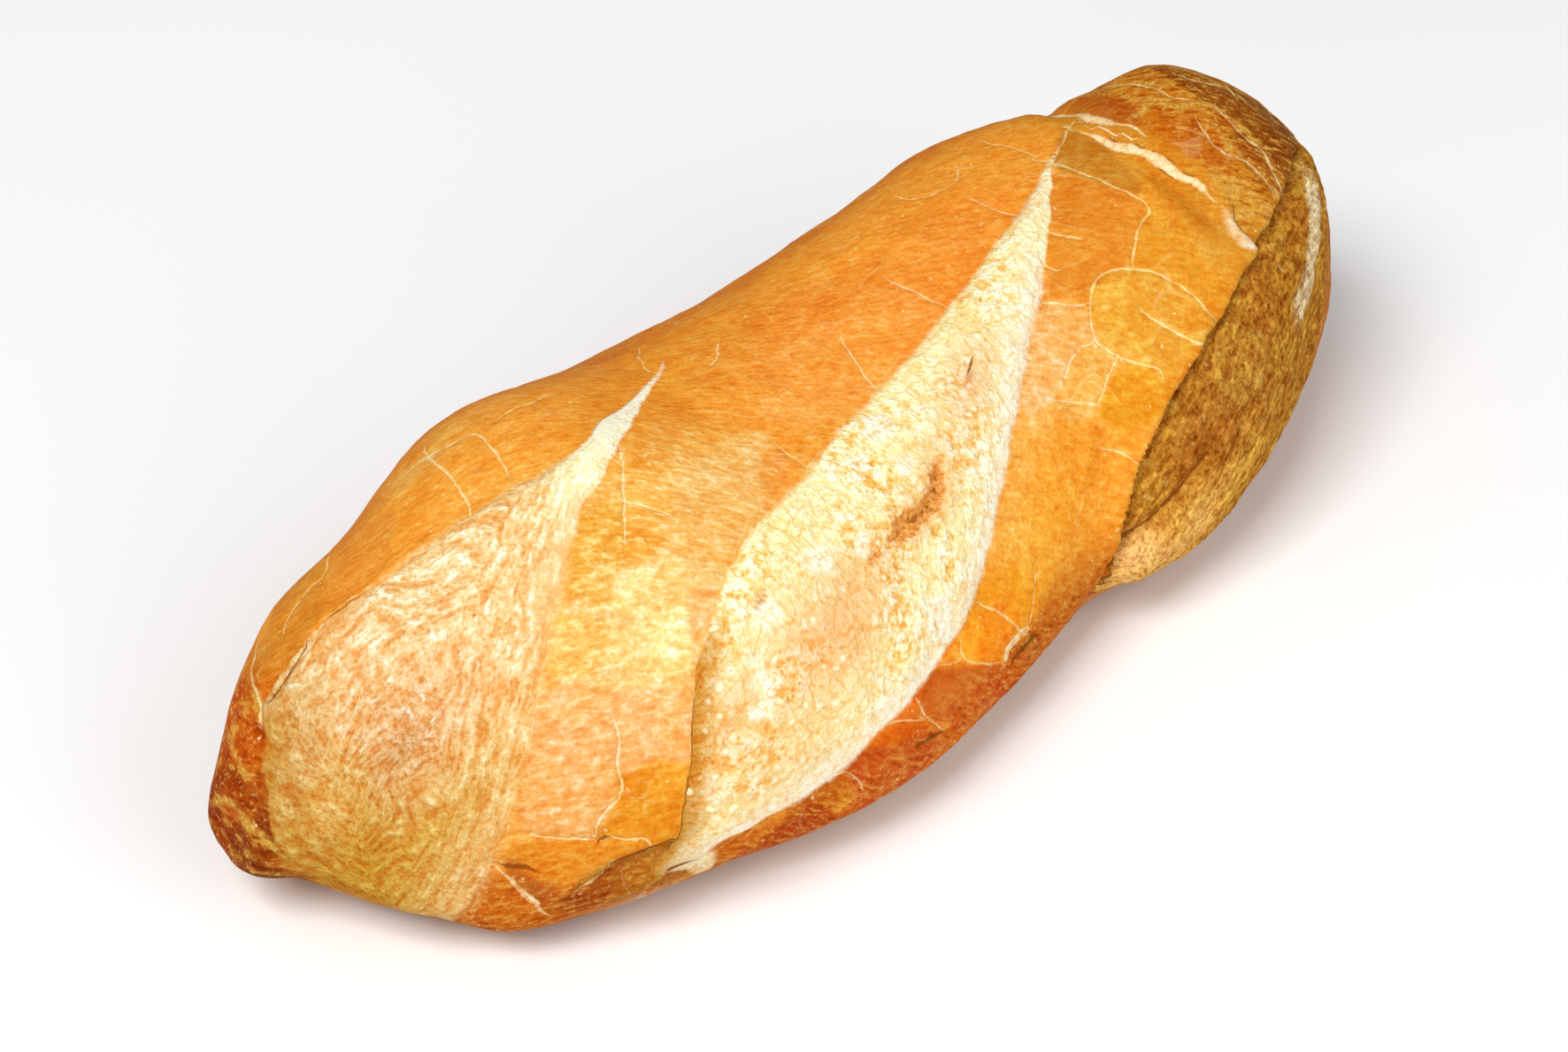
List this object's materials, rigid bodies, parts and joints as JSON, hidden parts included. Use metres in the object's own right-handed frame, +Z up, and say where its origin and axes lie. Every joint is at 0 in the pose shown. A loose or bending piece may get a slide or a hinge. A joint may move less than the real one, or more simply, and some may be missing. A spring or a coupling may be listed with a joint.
{
  "type": "slashed loaf of white bread",
  "caption": "Short, wide baguette-style loaf with a golden crust, slanting slashes that opened into pale leaves, rounded ends and a flat base to rest on.",
  "frame": {"origin": "middle of the loaf's box at the level of its flat base", "axes": "+X along the loaf, from its blunt low end to its higher end; +Z up; -Y towards the flank that the slashes run down"},
  "size_m": [0.3104, 0.1352, 0.0812],
  "materials": {
    "crust": "baked crust, golden to brown, satin sheen, pale crumb in the slashes"
  },
  "bodies": {
    "root": {"loaf": "crust"}
  },
  "joints": []
}
